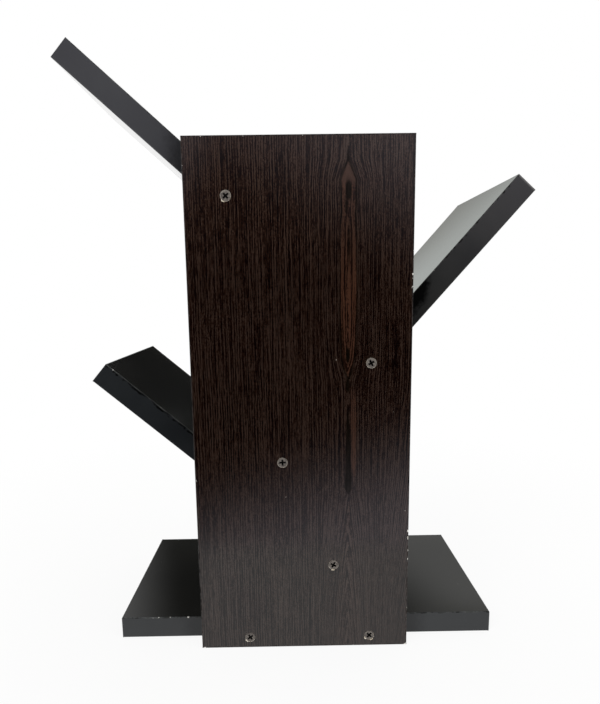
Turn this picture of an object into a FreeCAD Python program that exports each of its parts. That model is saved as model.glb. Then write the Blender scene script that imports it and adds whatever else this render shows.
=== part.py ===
import FreeCAD
import Part
import Sketcher
import os

# Zigzag bookcase for a table top. An upright trunk panel carries four equal shelf boards, screwed
# to it through its rear face: a level base and three sloping shelves. Each sloping shelf seats its
# inner end on the upper face of the shelf below it, and the lowest stands a corner on the base.
# X runs to the right as seen from the trunk's screwed rear, Y from that rear to the open front of
# the shelves, Z up. The origin is on the table, under the middle of the base board.

# Driving sizes in millimetres and degrees.
SIZES = (
    ("board_thickness", 18, "laminated chipboard of the trunk and of every shelf"),
    ("band_thickness", 1, "plastic band glued over the sawn edges"),
    ("shelf_length", 320, "each shelf board, along its centre line, bands included"),
    ("shelf_depth", 165, "trunk to open front, bands included"),
    ("trunk_width", 172, "bands included"),
    ("trunk_height", 408, "bands included"),
    ("trunk_offset", 2, "middle of the trunk, left of the middle of the base"),
    ("foot_offset", 72.5, "foot of the lower left shelf, right of the middle of the base"),
    ("lower_left_slope", 40.6, "from level"),
    ("right_slope", 48.3, "from level"),
    ("upper_left_slope", 42, "from level"),
    ("right_seat", 158, "outer end of the lower left shelf to the middle of the right shelf's foot"),
    ("upper_left_seat", 162, "outer end of the right shelf to the middle of the upper left shelf's foot"),
    ("trunk_screw_inset", 31.5, "trunk edge to the nearest screw of a sloping shelf"),
    ("base_left_screw_inset", 40.5, "trunk edge to the left screw of the base"),
    ("base_right_screw_inset", 31.5, "trunk edge to the right screw of the base"),
    ("right_screw_inset", 31.5, "seated end of the right shelf to its lower screw"),
    ("lower_left_screw_inset", 73.5, "inner end of the lower left shelf to its screw"),
    ("seat_screw_gap", 7, "bottom of a trunk screw's hole to the middle of the screw in a seated end"),
    ("screw_length", 50, "head included"),
    ("screw_diameter", 4, "over the thread, modelled plain"),
    ("head_diameter", 8, "countersunk head"),
    ("tip_length", 5, "pointed tip"),
    ("recess_width", 4.6, "cross recess, tip to tip of its wings at the top of the head"),
    ("recess_root", 1.9, "cross recess, tip to tip of its wings at its bottom"),
    ("recess_depth", 2.4, "cross recess"),
    ("wing_thickness", 1, "each wing of the cross recess"),
    ("shank_gap", 0.25, "round the shank in a clearance hole"),
    ("pilot_gap", 0.05, "round the shank in a pilot hole"),
    ("head_sink", 0.3, "top of a screw head below the face it is driven into"),
    ("tip_gap", 1, "beyond the tip, at the bottom of a pilot hole"),
)

COUNTERSINK_ANGLE = 90
HALF_TURN = 180
QUARTER_TURN = 90
PLANE_TOLERANCE = 1e-6

# Numbers of a sketch's own axes, counted down, and of the points on a line or circle, counted up.
ACROSS_AXIS, UP_AXIS = range(-1, -3, -1)
START, END, CENTRE = range(1, 4)
ORIGIN_POINT = (ACROSS_AXIS, START)


class Shelf:
    """A shelf board's place: the middle of its outer end, its slope and the way it runs inward.

    In the board's own frame x runs along it from the outer end, y across its depth and z from its
    centre line to its upper face. A board that runs to the right has its length on the positive
    side of x, one that runs to the left on the negative side.
    """

    def __init__(self, name, inward, slope, carrier_slope=None):
        self.name = name
        self.inward = inward
        self.slope = slope
        self.seated = carrier_slope is not None
        self.seat_angle = f"({slope} + {carrier_slope})"

    def placement(self):
        """Expression that stands the board at its slope."""
        outer_end = f"vector(Layout.{self.name}_x; 0; Layout.{self.name}_z)"
        return f"placement({outer_end}; rotation(vector(0; {self.inward}; 0); {self.slope}))"

    def along(self, distance):
        """Expression of x at a distance from the outer end."""
        return f"{self.inward} * ({distance})"

    def inner_corner(self, side):
        """Expression of x at the inner end's lower (side -1) or upper (side 1) corner.

        A seated end is sawn to lie flat on the face that carries it, which tilts it from square by
        what the two slopes lack of a right angle. Any other inner end is square and banded.
        """
        if not self.seated:
            return self.along("Sizes.shelf_length - Sizes.band_thickness")
        saw_cut = f"Sizes.board_thickness / 2 / tan{self.seat_angle}"
        return self.along(f"Sizes.shelf_length + {side} * {saw_cut}")


BASE = Shelf("base", 1, "0")
LOWER_LEFT = Shelf("lower_left", 1, "Sizes.lower_left_slope")
RIGHT = Shelf("right", -1, "Sizes.right_slope", "Sizes.lower_left_slope")
UPPER_LEFT = Shelf("upper_left", 1, "Sizes.upper_left_slope", "Sizes.right_slope")

TRUNK_MIDDLE = "-Sizes.trunk_offset"
TRUNK_LEFT = "(-Sizes.trunk_offset - Sizes.trunk_width / 2)"
TRUNK_RIGHT = "(-Sizes.trunk_offset + Sizes.trunk_width / 2)"
HIGHEST_SCREW = "(Sizes.trunk_height - Sizes.trunk_screw_inset)"

# Screws through the trunk: name, shelf held, X on the trunk and how far the cross is turned. A
# screw near the trunk's side keeps its inset from the trunk's top as well.
TRUNK_SCREWS = (
    ("upper_left_screw", UPPER_LEFT,
     f"max({TRUNK_LEFT} + Sizes.trunk_screw_inset;"
     f" upper_left_x + (upper_left_z - {HIGHEST_SCREW}) / tan(Sizes.upper_left_slope))", 42),
    ("right_high_screw", RIGHT,
     f"min({TRUNK_RIGHT} - Sizes.trunk_screw_inset;"
     f" right_x - (right_z - {HIGHEST_SCREW}) / tan(Sizes.right_slope))", 28),
    ("right_low_screw", RIGHT, "right_foot_x + Sizes.right_screw_inset * cos(Sizes.right_slope)", 2),
    ("lower_left_screw", LOWER_LEFT,
     "lower_left_x + (Sizes.shelf_length - Sizes.lower_left_screw_inset) * cos(Sizes.lower_left_slope)", 62),
    ("base_left_screw", BASE, f"{TRUNK_LEFT} + Sizes.base_left_screw_inset", 35),
    ("base_right_screw", BASE, f"{TRUNK_RIGHT} - Sizes.base_right_screw_inset", 48),
)

TRUNK_SCREW_GROUPS = (
    ("base_screws", (BASE,)),
    ("left_shelf_screws", (LOWER_LEFT, UPPER_LEFT)),
    ("right_shelf_screws", (RIGHT,)),
)

# Seats: the shelf whose inner end is seated, the shelf that carries it and the station on that one.
SEATS = (
    (RIGHT, LOWER_LEFT, "Sizes.right_seat"),
    (UPPER_LEFT, RIGHT, "Sizes.upper_left_seat"),
)

UPRIGHT = "rotation(vector(0; 0; 1); 0)"
SHANK_HOLE = "Sizes.screw_diameter + 2 * Sizes.shank_gap"
PILOT_HOLE = "Sizes.screw_diameter + 2 * Sizes.pilot_gap"
PILOT_DEPTH = "Sizes.head_sink + Sizes.screw_length + Sizes.tip_gap - Sizes.board_thickness"
COUNTERSINK = f"Sizes.head_diameter + 2 * Sizes.head_sink * tan({COUNTERSINK_ANGLE} / 2)"
SEAT_SCREW_Y = f"Sizes.shelf_depth / 2 - ({PILOT_DEPTH}) - Sizes.seat_screw_gap"


def add_sheet(doc, name, cells):
    """Adds a spreadsheet with one aliased value a row, and what the value means beside it."""
    sheet = doc.addObject("Spreadsheet::Sheet", name)
    for row, (alias, value, meaning) in enumerate(cells, start=1):
        sheet.set(f"A{row}", meaning)
        sheet.set(f"B{row}", str(value))
        sheet.setAlias(f"B{row}", alias)
    doc.recompute()
    return sheet


def layout_cells():
    """Formulas that stack the shelves from the base upwards and find the screws on the trunk."""
    half = "Sizes.board_thickness / 2"
    low, right, high = "Sizes.lower_left_slope", "Sizes.right_slope", "Sizes.upper_left_slope"
    length = "Sizes.shelf_length"
    cells = [
        ("trunk_rear", "=-Sizes.shelf_depth / 2 - Sizes.board_thickness", "screwed face of the trunk"),
        ("base_x", f"=-{length} / 2", "left end of the base"),
        ("base_z", f"={half}", "centre line of the base"),
        ("lower_left_x", f"=Sizes.foot_offset - {length} * cos({low}) + {half} * sin({low})",
         "outer end of the lower left shelf"),
        ("lower_left_z", f"=2 * {half} + {length} * sin({low}) + {half} * cos({low})",
         "outer end of the lower left shelf"),
        ("right_foot_x", f"=lower_left_x + Sizes.right_seat * cos({low}) + {half} * sin({low})",
         "seat of the right shelf"),
        ("right_foot_z", f"=lower_left_z - Sizes.right_seat * sin({low}) + {half} * cos({low})",
         "seat of the right shelf"),
        ("right_x", f"=right_foot_x + {length} * cos({right})", "outer end of the right shelf"),
        ("right_z", f"=right_foot_z + {length} * sin({right})", "outer end of the right shelf"),
        ("upper_left_foot_x", f"=right_x - Sizes.upper_left_seat * cos({right}) - {half} * sin({right})",
         "seat of the upper left shelf"),
        ("upper_left_foot_z", f"=right_z - Sizes.upper_left_seat * sin({right}) + {half} * cos({right})",
         "seat of the upper left shelf"),
        ("upper_left_x", f"=upper_left_foot_x - {length} * cos({high})",
         "outer end of the upper left shelf"),
        ("upper_left_z", f"=upper_left_foot_z + {length} * sin({high})",
         "outer end of the upper left shelf"),
    ]
    for name, shelf, across, _ in TRUNK_SCREWS:
        run = f"{shelf.inward} * ({name}_x - {shelf.name}_x)"
        cells.append((f"{name}_x", f"={across}", "on the trunk"))
        cells.append((f"{name}_z", f"={shelf.name}_z - {run} * tan({shelf.slope})", "on the shelf's middle"))
        cells.append((f"{name}_at", f"={run} / cos({shelf.slope})", "from the shelf's outer end"))
    return cells


def add_body(doc, label, placement):
    """Adds an empty body whose place is bound to the sizes."""
    body = doc.addObject("PartDesign::Body", label)
    body.Label = label
    body.setExpression("Placement", placement)
    return body


def add_sketch(body, name, plane, shift="0", tilt="0"):
    """Adds a sketch on one of the body's origin planes.

    The sketch lies at a shift along the plane's normal and is tilted about its own across axis.
    """
    sketch = body.newObject("Sketcher::SketchObject", name)
    origin_plane = next(item for item in body.Origin.OriginFeatures if item.Role == plane)
    sketch.AttachmentSupport = (origin_plane, [""])
    sketch.MapMode = "FlatFace"
    turn = f"rotation(vector(1; 0; 0); {tilt})"
    sketch.setExpression("AttachmentOffset", f"placement(vector(0; 0; {shift}); {turn})")
    return sketch


def hold_point(sketch, direction, geometry, vertex, expression):
    """Binds a sketch point's distance from the origin in one direction, X or Y, to an expression."""
    distance = float(sketch.evalExpression(expression))
    if abs(distance) < PLANE_TOLERANCE:
        axis = UP_AXIS if direction == "X" else ACROSS_AXIS
        sketch.addConstraint(Sketcher.Constraint("PointOnObject", geometry, vertex, axis))
        return
    ends = (*ORIGIN_POINT, geometry, vertex)
    if distance < 0:
        ends = (geometry, vertex, *ORIGIN_POINT)
        expression = f"-({expression})"
    index = sketch.addConstraint(Sketcher.Constraint(f"Distance{direction}", *ends, abs(distance)))
    constraint = f"point_{geometry}_{direction.lower()}"
    sketch.renameConstraint(index, constraint)
    sketch.setExpression(f"Constraints.{constraint}", expression)


def draw_outline(sketch, corners):
    """Draws a closed outline whose corners are pairs of expressions, across and up."""
    points = [FreeCAD.Vector(*(float(sketch.evalExpression(part)) for part in corner)) for corner in corners]
    following = points[1:] + points[:1]
    for start, end in zip(points, following):
        sketch.addGeometry(Part.LineSegment(start, end), False)
    for line in range(len(points)):
        neighbour = (line + 1) % len(points)
        sketch.addConstraint(Sketcher.Constraint("Coincident", line, END, neighbour, START))
    for line, (across, up) in enumerate(corners):
        hold_point(sketch, "X", line, START, across)
        hold_point(sketch, "Y", line, START, up)
    return sketch


def draw_circles(sketch, centres, diameter):
    """Draws equal circles whose centres are pairs of expressions, across and up."""
    radius = float(sketch.evalExpression(diameter)) / 2
    normal = FreeCAD.Vector(0, 0, 1)
    for circle, (across, up) in enumerate(centres):
        middle = FreeCAD.Vector(float(sketch.evalExpression(across)), float(sketch.evalExpression(up)))
        sketch.addGeometry(Part.Circle(middle, normal, radius), False)
        hold_point(sketch, "X", circle, CENTRE, across)
        hold_point(sketch, "Y", circle, CENTRE, up)
        index = sketch.addConstraint(Sketcher.Constraint("Diameter", circle, 2 * radius))
        sketch.renameConstraint(index, f"bore_{circle}")
        sketch.setExpression(f"Constraints.bore_{circle}", diameter)
    return sketch


def pad(body, sketch, length):
    """Pads a sketch to both sides alike."""
    feature = body.newObject("PartDesign::Pad", "Pad")
    feature.Profile = sketch
    feature.SideType = "Symmetric"
    feature.setExpression("Length", length)
    body.Document.recompute()
    return feature


def check_cut(feature, volume_before):
    """Stops the build if a cut took nothing away."""
    if not feature.Shape.Volume < volume_before:
        raise RuntimeError(f"{feature.Label} cuts nothing")


def pocket(body, sketch, depth, backwards=False):
    """Cuts a sketch's outlines to a depth, against the sketch's normal unless backwards."""
    volume_before = body.Tip.Shape.Volume
    feature = body.newObject("PartDesign::Pocket", "Pocket")
    feature.Profile = sketch
    feature.Reversed = backwards
    feature.setExpression("Length", depth)
    body.Document.recompute()
    check_cut(feature, volume_before)
    return feature


def countersunk_holes(body, sketch, backwards=False):
    """Drills through at a sketch's circles, countersunk so that the heads lie just below the face."""
    body.Document.recompute()
    volume_before = body.Tip.Shape.Volume
    feature = body.newObject("PartDesign::Hole", "Hole")
    feature.Profile = sketch
    feature.ThreadType = "None"
    feature.DepthType = "ThroughAll"
    feature.Reversed = backwards
    feature.setExpression("Diameter", SHANK_HOLE)
    feature.HoleCutType = "Countersink"
    feature.HoleCutCustomValues = True
    feature.HoleCutCountersinkAngle = COUNTERSINK_ANGLE
    feature.setExpression("HoleCutDiameter", COUNTERSINK)
    body.Document.recompute()
    check_cut(feature, volume_before)
    return feature


def round_arrises(body, axis, level, along=None):
    """Rounds the edges that lie on the plane axis = level, or only those that run along an axis."""
    level = float(body.evalExpression(level))
    solid = body.Tip
    chosen = []
    for number, edge in enumerate(solid.Shape.Edges, start=1):
        points = [vertex.Point for vertex in edge.Vertexes]
        on_plane = all(abs(getattr(point, axis) - level) < PLANE_TOLERANCE for point in points)
        length_along = abs(getattr(points[-1] - points[0], along)) if along else edge.Length
        if on_plane and abs(length_along - edge.Length) < PLANE_TOLERANCE:
            chosen.append(f"Edge{number}")
    feature = body.newObject("PartDesign::Fillet", "Arris")
    feature.Base = (solid, chosen)
    feature.setExpression("Radius", "Sizes.band_thickness / 2")
    body.Document.recompute()
    return feature


def rectangle(left, bottom, right, top):
    """Corners of an upright rectangle, as pairs of expressions."""
    return [(left, bottom), (right, bottom), (right, top), (left, top)]


def build_trunk(doc):
    """Builds the trunk panel, drilled and countersunk from its rear, and its four edge bands."""
    middle = f"vector({TRUNK_MIDDLE}; Layout.trunk_rear + Sizes.board_thickness / 2; 0)"
    placement = f"placement({middle}; {UPRIGHT})"
    half, band, top = "Sizes.trunk_width / 2", "Sizes.band_thickness", "Sizes.trunk_height"
    thickness = "Sizes.board_thickness"

    panel = add_body(doc, "trunk_panel", placement)
    corners = rectangle(f"-{half} + {band}", band, f"{half} - {band}", f"{top} - {band}")
    pad(panel, draw_outline(add_sketch(panel, "Panel", "XZ_Plane"), corners), thickness)
    centres = [(f"Layout.{name}_x - ({TRUNK_MIDDLE})", f"Layout.{name}_z") for name, _, _, _ in TRUNK_SCREWS]
    holes = add_sketch(panel, "ScrewHoles", "XZ_Plane", f"{thickness} / 2")
    countersunk_holes(panel, draw_circles(holes, centres, SHANK_HOLE))
    pieces = [panel]

    for side, bottom_edge, outer_edge in (("top", f"{top} - {band}", top), ("bottom", "0", "0")):
        body = add_body(doc, f"trunk_band_{side}", placement)
        corners = rectangle(f"-{half}", bottom_edge, half, f"{bottom_edge} + {band}")
        pad(body, draw_outline(add_sketch(body, "Band", "XZ_Plane"), corners), thickness)
        round_arrises(body, "z", outer_edge)
        pieces.append(body)

    sides = (("left", f"-{half}", f"-{half}"), ("right", f"{half} - {band}", half))
    for side, left_edge, outer_edge in sides:
        body = add_body(doc, f"trunk_band_{side}", placement)
        corners = rectangle(left_edge, band, f"{left_edge} + {band}", f"{top} - {band}")
        pad(body, draw_outline(add_sketch(body, "Band", "XZ_Plane"), corners), thickness)
        round_arrises(body, "x", outer_edge, along="z")
        pieces.append(body)
    return pieces


def build_long_band(doc, shelf, label, side, stations):
    """Builds the band along a shelf's rear (side -1) or front (side 1) edge.

    The end bands lap over it, and at the rear it has the trunk screws' pilot holes.
    """
    half, band = "Sizes.board_thickness / 2", "Sizes.band_thickness"
    body = add_body(doc, label, shelf.placement())
    outer_face = f"{side} * Sizes.shelf_depth / 2"
    middle = f"({outer_face} - {side} * {band} / 2)"
    outline = [
        (shelf.along(band), f"-{half}"),
        (shelf.inner_corner(-1), f"-{half}"),
        (shelf.inner_corner(1), half),
        (shelf.along(band), half),
    ]
    pad(body, draw_outline(add_sketch(body, "Band", "XZ_Plane", f"-{middle}"), outline), band)
    round_arrises(body, "y", outer_face, along="x")
    if stations:
        holes = add_sketch(body, "PilotHoles", "XZ_Plane", f"-({outer_face})")
        pocket(body, draw_circles(holes, stations, PILOT_HOLE), band)
    return body


def build_end_band(doc, shelf, label, outer_end):
    """Builds the band over a shelf's square end, across its whole depth."""
    half, band = "Sizes.board_thickness / 2", "Sizes.band_thickness"
    body = add_body(doc, label, shelf.placement())
    face = shelf.along("0" if outer_end else "Sizes.shelf_length")
    joint = shelf.along(band if outer_end else f"Sizes.shelf_length - {band}")
    pad(body, draw_outline(add_sketch(body, "Band", "XZ_Plane"), rectangle(face, f"-{half}", joint, half)),
        "Sizes.shelf_depth")
    round_arrises(body, "x", face)
    return body


def build_shelf(doc, shelf, board_label):
    """Builds a shelf board with its screw holes, and the bands round its edges."""
    half, band = "Sizes.board_thickness / 2", "Sizes.band_thickness"
    core_depth = f"Sizes.shelf_depth - 2 * {band}"
    stations = [
        (shelf.along(f"Layout.{name}_at"), "0")
        for name, held, _, _ in TRUNK_SCREWS if held is shelf
    ]
    board = add_body(doc, board_label, shelf.placement())
    outline = [
        (shelf.along(band), f"-{half}"),
        (shelf.inner_corner(-1), f"-{half}"),
        (shelf.inner_corner(1), half),
        (shelf.along(band), half),
    ]
    pad(board, draw_outline(add_sketch(board, "Board", "XZ_Plane"), outline), core_depth)
    rear_holes = add_sketch(board, "PilotHoles", "XZ_Plane", f"({core_depth}) / 2")
    pocket(board, draw_circles(rear_holes, stations, PILOT_HOLE), f"{PILOT_DEPTH} - {band}")

    for seated, carrier, station in SEATS:
        if seated is shelf:
            tilt = f"{shelf.inward} * ({QUARTER_TURN} - {shelf.seat_angle})"
            end_holes = add_sketch(board, "EndHoles", "YZ_Plane", shelf.along("Sizes.shelf_length"), tilt)
            centres = [(f"-({SEAT_SCREW_Y})", "0"), (SEAT_SCREW_Y, "0")]
            pocket(board, draw_circles(end_holes, centres, PILOT_HOLE), PILOT_DEPTH, shelf.inward < 0)
        if carrier is shelf:
            seat_holes = add_sketch(board, "SeatHoles", "XY_Plane", f"-{half}")
            centres = [(shelf.along(station), f"-({SEAT_SCREW_Y})"), (shelf.along(station), SEAT_SCREW_Y)]
            countersunk_holes(board, draw_circles(seat_holes, centres, SHANK_HOLE), backwards=True)

    pieces = [
        board,
        build_long_band(doc, shelf, f"{shelf.name}_band_front", 1, []),
        build_long_band(doc, shelf, f"{shelf.name}_band_rear", -1, stations),
        build_end_band(doc, shelf, f"{shelf.name}_band_outer", outer_end=True),
    ]
    if not shelf.seated:
        pieces.append(build_end_band(doc, shelf, f"{shelf.name}_band_inner", outer_end=False))
    return pieces


def build_screw(doc):
    """Builds one countersunk cross-recess screw, head up, with the top of its head at the origin."""
    body = add_body(doc, "screw", f"placement(vector(0; 0; 0); {UPRIGHT})")
    head, shank = "Sizes.head_diameter / 2", "Sizes.screw_diameter / 2"
    neck = f"-({head} - {shank}) / tan({COUNTERSINK_ANGLE} / 2)"
    profile = [
        ("0", "0"),
        (head, "0"),
        (shank, neck),
        (shank, "-Sizes.screw_length + Sizes.tip_length"),
        ("0", "-Sizes.screw_length"),
    ]
    sketch = draw_outline(add_sketch(body, "Profile", "XZ_Plane"), profile)
    turned = body.newObject("PartDesign::Revolution", "Turned")
    turned.Profile = sketch
    turned.ReferenceAxis = (sketch, ["V_Axis"])
    doc.recompute()

    wing = [
        ("-Sizes.recess_width / 2", "0"),
        ("-Sizes.recess_root / 2", "-Sizes.recess_depth"),
        ("Sizes.recess_root / 2", "-Sizes.recess_depth"),
        ("Sizes.recess_width / 2", "0"),
    ]
    slot = body.newObject("PartDesign::Pocket", "Wing")
    slot.Profile = draw_outline(add_sketch(body, "WingOutline", "XZ_Plane"), wing)
    slot.SideType = "Symmetric"
    slot.setExpression("Length", "Sizes.wing_thickness")
    doc.recompute()
    check_cut(slot, turned.Shape.Volume)

    cross = body.newObject("PartDesign::PolarPattern", "Cross")
    cross.Originals = [slot]
    screw_axis = next(item for item in body.Origin.OriginFeatures if item.Role == "Z_Axis")
    cross.Axis = (screw_axis, [""])
    cross.Angle = QUARTER_TURN
    cross.Occurrences = 2
    body.Tip = cross
    doc.recompute()
    check_cut(cross, slot.Shape.Volume)
    return body


def group_screws(doc, screw, label, placements):
    """Groups copies of the screw as one piece of hardware."""
    copies = []
    for placement in placements:
        copy = doc.addObject("App::Link", "Copy")
        copy.LinkedObject = screw
        copy.setExpression("Placement", placement)
        copies.append(copy)
    group = doc.addObject("Part::Compound", label)
    group.Label = label
    group.Links = copies
    return group


def build_screws(doc):
    """Drives the screws through the trunk and the two at each seat."""
    screw = build_screw(doc)
    groups = []
    for label, shelves in TRUNK_SCREW_GROUPS:
        placements = []
        for name, held, _, turn in TRUNK_SCREWS:
            if held in shelves:
                middle = f"vector(Layout.{name}_x; Layout.trunk_rear + Sizes.head_sink; Layout.{name}_z)"
                aim = f"rotation(vector(1; 0; 0); {QUARTER_TURN}) * rotation(vector(0; 0; 1); {turn})"
                placements.append(f"placement({middle}; {aim})")
        groups.append(group_screws(doc, screw, label, placements))
    for seated, carrier, station in SEATS:
        placements = []
        for side in (-1, 1):
            middle = (f"vector({carrier.along(station)}; {side} * ({SEAT_SCREW_Y});"
                      " -Sizes.board_thickness / 2 + Sizes.head_sink)")
            aim = f"rotation(vector(1; 0; 0); {HALF_TURN})"
            placements.append(f"{carrier.placement()} * placement({middle}; {aim})")
        groups.append(group_screws(doc, screw, f"{seated.name}_seat_screws", placements))
    return groups


def check_document(doc, pieces):
    """Stops the build if any object failed, or if a piece has no valid shape."""
    doc.recompute()
    for item in doc.Objects:
        if "Invalid" in item.State or "Error" in item.State:
            raise RuntimeError(f"{item.Label} failed: {item.State}")
    for piece in pieces:
        if piece.Shape.isNull() or not piece.Shape.isValid():
            raise RuntimeError(f"{piece.Label} has no valid shape")


def main():
    """Builds the bookcase and writes one file for each of its pieces."""
    doc = FreeCAD.newDocument("zigzag_bookcase")
    add_sheet(doc, "Sizes", SIZES)
    add_sheet(doc, "Layout", layout_cells())
    pieces = build_trunk(doc)
    pieces += build_shelf(doc, BASE, "base_board")
    pieces += build_shelf(doc, LOWER_LEFT, "lower_left_shelf")
    pieces += build_shelf(doc, RIGHT, "right_shelf")
    pieces += build_shelf(doc, UPPER_LEFT, "upper_left_shelf")
    pieces += build_screws(doc)
    check_document(doc, pieces)
    os.makedirs("parts", exist_ok=True)
    for piece in pieces:
        piece.Shape.exportStep(f"parts/{piece.Label}.step")
        print(piece.Label, len(piece.Shape.Solids), round(piece.Shape.Volume, 1))


main()
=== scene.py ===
"""Dresses a zigzag bookcase: a wenge-look trunk, four black boards in their edge bands, and wood screws."""

import logging
import math
from collections.abc import Callable
from dataclasses import dataclass
from enum import Enum
from functools import cached_property

import bpy
import numpy as np
from mathutils import Matrix, Vector


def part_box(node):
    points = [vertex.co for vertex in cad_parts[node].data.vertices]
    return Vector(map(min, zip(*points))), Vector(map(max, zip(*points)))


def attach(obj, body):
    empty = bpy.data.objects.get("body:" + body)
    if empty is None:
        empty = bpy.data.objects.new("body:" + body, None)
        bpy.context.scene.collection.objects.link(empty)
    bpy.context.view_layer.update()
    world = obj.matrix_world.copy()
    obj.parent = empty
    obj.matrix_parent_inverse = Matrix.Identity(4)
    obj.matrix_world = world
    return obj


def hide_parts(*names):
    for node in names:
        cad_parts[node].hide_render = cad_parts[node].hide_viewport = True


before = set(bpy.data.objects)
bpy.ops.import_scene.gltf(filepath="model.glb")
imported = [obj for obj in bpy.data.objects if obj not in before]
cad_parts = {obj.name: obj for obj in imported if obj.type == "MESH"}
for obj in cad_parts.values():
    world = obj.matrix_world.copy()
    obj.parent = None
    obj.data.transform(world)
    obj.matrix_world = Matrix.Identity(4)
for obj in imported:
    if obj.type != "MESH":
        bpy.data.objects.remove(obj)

LOG = logging.getLogger("bookcase")
MM = 0.001
PER_METRE = 1000.0
BODY = "root"
WHITE = "#ffffff"
# the way that a board's height counts: up, or on an upright board towards the shelves
UPWARDS = Vector((0.0, 0.001, 1.0))
# numbers of a mix node's colour sockets, which share their names with others
MIX_A, MIX_B, MIX_RESULT = 6, 7, 2
# attribute that holds how deep a point of a screw's recess lies, in millimetres
SINK = "sink"
# how a screw's corners are told apart: on its rim, on a flat end, in its recess and in one plane
RIM_SHARE, FLAT_MM, RECESS_SHARE, SAME_MM = 0.98, 0.01, 0.8, 1e-4
RECESS_WINGS = 4
NOISE_MIDDLE = 0.5

Colour = tuple[float, float, float, float]
Profile = tuple[tuple[float, float], ...]
Socket = bpy.types.NodeSocket
Tones = tuple[tuple[float, str], ...]


def linear(hex_colour: str) -> Colour:
    """Turns a colour as it is seen into the light that a shader needs.

    Args:
        hex_colour: sRGB colour such as "#2a1b16".

    Returns:
        Linear red, green, blue and an alpha of one.
    """
    parts = [int(hex_colour[i:i + 2], 16) / 255 for i in (1, 3, 5)]
    # the sRGB curve: straight near black, a power above it
    lit = [p / 12.92 if p <= 0.04045 else ((p + 0.055) / 1.055) ** 2.4 for p in parts]
    return (*lit, 1.0)


@dataclass
class Paint:
    """The nodes of one finish, or of the room's light, while they are put together."""

    owner: bpy.types.Material | bpy.types.World

    def __post_init__(self) -> None:
        """Starts with no nodes."""
        self.owner.use_nodes = True
        self.owner.node_tree.nodes.clear()

    @classmethod
    def named(cls, name: str) -> "Paint":
        """Starts a new material."""
        return cls(bpy.data.materials.new(name))

    def add(self, kind: str, feeds: dict | tuple = (), out: int | str = 0, stops: Profile | Tones = (),
            **settings: object) -> Socket | None:
        """Adds one node with its settings and links.

        Args:
            kind: node type without its ShaderNode prefix, with its operation after a full stop.
            feeds: sockets to link from, or values and hex colours to set, by input name or in order.
            out: name or number of the output that is handed back.
            stops: places and values, or places and hex colours, of a colour ramp.
            settings: the node's own properties.

        Returns:
            The chosen output, or None for a node that has none.
        """
        kind, _, operation = kind.partition(".")
        node = self.owner.node_tree.nodes.new("ShaderNode" + kind)
        if operation:
            node.operation = operation
        for name, value in settings.items():
            setattr(node, name, value)
        for number, (place, tone) in enumerate(stops):
            ramp = node.color_ramp.elements
            stop = ramp[number] if number < len(ramp) else ramp.new(place)
            stop.position = place
            stop.color = linear(tone) if isinstance(tone, str) else (tone, tone, tone, 1.0)
        for key, feed in feeds.items() if isinstance(feeds, dict) else enumerate(feeds):
            if isinstance(feed, Socket):
                self.owner.node_tree.links.new(feed, node.inputs[key])
            else:
                node.inputs[key].default_value = linear(feed) if isinstance(feed, str) else feed
        return node.outputs[out] if node.outputs else None

    @cached_property
    def place(self) -> Socket:
        """Gives the place on the object, in millimetres."""
        place = self.add("TexCoord", out="Object")
        return self.add("Mapping", {"Vector": place, "Scale": (PER_METRE,) * 3})

    def sized(self, size_mm: float, detail: float = 0.0) -> dict:
        """Gives the feeds of a pattern from the real size of its parts."""
        return {"Vector": self.place, "Scale": 1 / size_mm, "Detail": detail}

    def bell(self, distance: Socket, reach: float) -> Socket:
        """Draws a bell over a distance.

        Args:
            distance: distance from the bell's middle.
            reach: distance at which it has mostly gone.

        Returns:
            A value from one at the middle down to zero.
        """
        share = self.add("Math.DIVIDE", (distance, reach))
        square = self.add("Math.MULTIPLY", (share, share))
        below = self.add("Math.MULTIPLY", (square, -1.0))
        return self.add("Math.EXPONENT", (below,))

    def coated(self, colour: Socket, *coats: tuple[Socket, Socket | str]) -> Socket:
        """Lays coats over a colour, one after another.

        Args:
            colour: the lowest colour.
            coats: how much of each coat shows, and its colour.

        Returns:
            The colour that is seen.
        """
        for share, coat in coats:
            colour = self.add("Mix", {0: share, MIX_A: colour, MIX_B: coat}, MIX_RESULT, data_type="RGBA")
        return colour

    def done(self, looks: dict) -> bpy.types.Material:
        """Ends a finish with what its shader is fed, and gives the finished material."""
        self.add("OutputMaterial", (self.add("BsdfPrincipled", looks),))
        return self.owner


@dataclass(frozen=True)
class Slab:
    """A board's own frame, read from its solid: the wide faces' normal and the middle plane between them."""

    node: str
    normal: Vector
    middle: float
    half: float

    @classmethod
    def of(cls, node: str) -> "Slab":
        """Reads a board's frame from its solid.

        Args:
            node: name of the board's node.

        Returns:
            The board's frame, in millimetres.
        """
        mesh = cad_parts[node].data
        normal = max(mesh.polygons, key=lambda p: p.area).normal.copy()
        if normal.dot(UPWARDS) < 0:
            normal.negate()
        heights = [normal.dot(v.co) * PER_METRE for v in mesh.vertices]
        low, high = min(heights), max(heights)
        return cls(node, normal, (low + high) / 2, (high - low) / 2)

    def height(self, paint: Paint) -> Socket:
        """Draws the height over the board's middle plane, in millimetres, less than zero under it."""
        along = paint.add("VectorMath.DOT_PRODUCT", (paint.place, tuple(self.normal)), "Value")
        return paint.add("Math.SUBTRACT", (along, self.middle))

    def depth(self, paint: Paint) -> Socket:
        """Draws the distance from the board's middle plane, in millimetres."""
        return paint.add("Math.ABSOLUTE", (self.height(paint),))

    def cut(self, paint: Paint, film_mm: float) -> Socket:
        """Draws one where a cut shows what is under the board's film."""
        return paint.add("Math.LESS_THAN", (self.depth(paint), self.half - film_mm))


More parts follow.
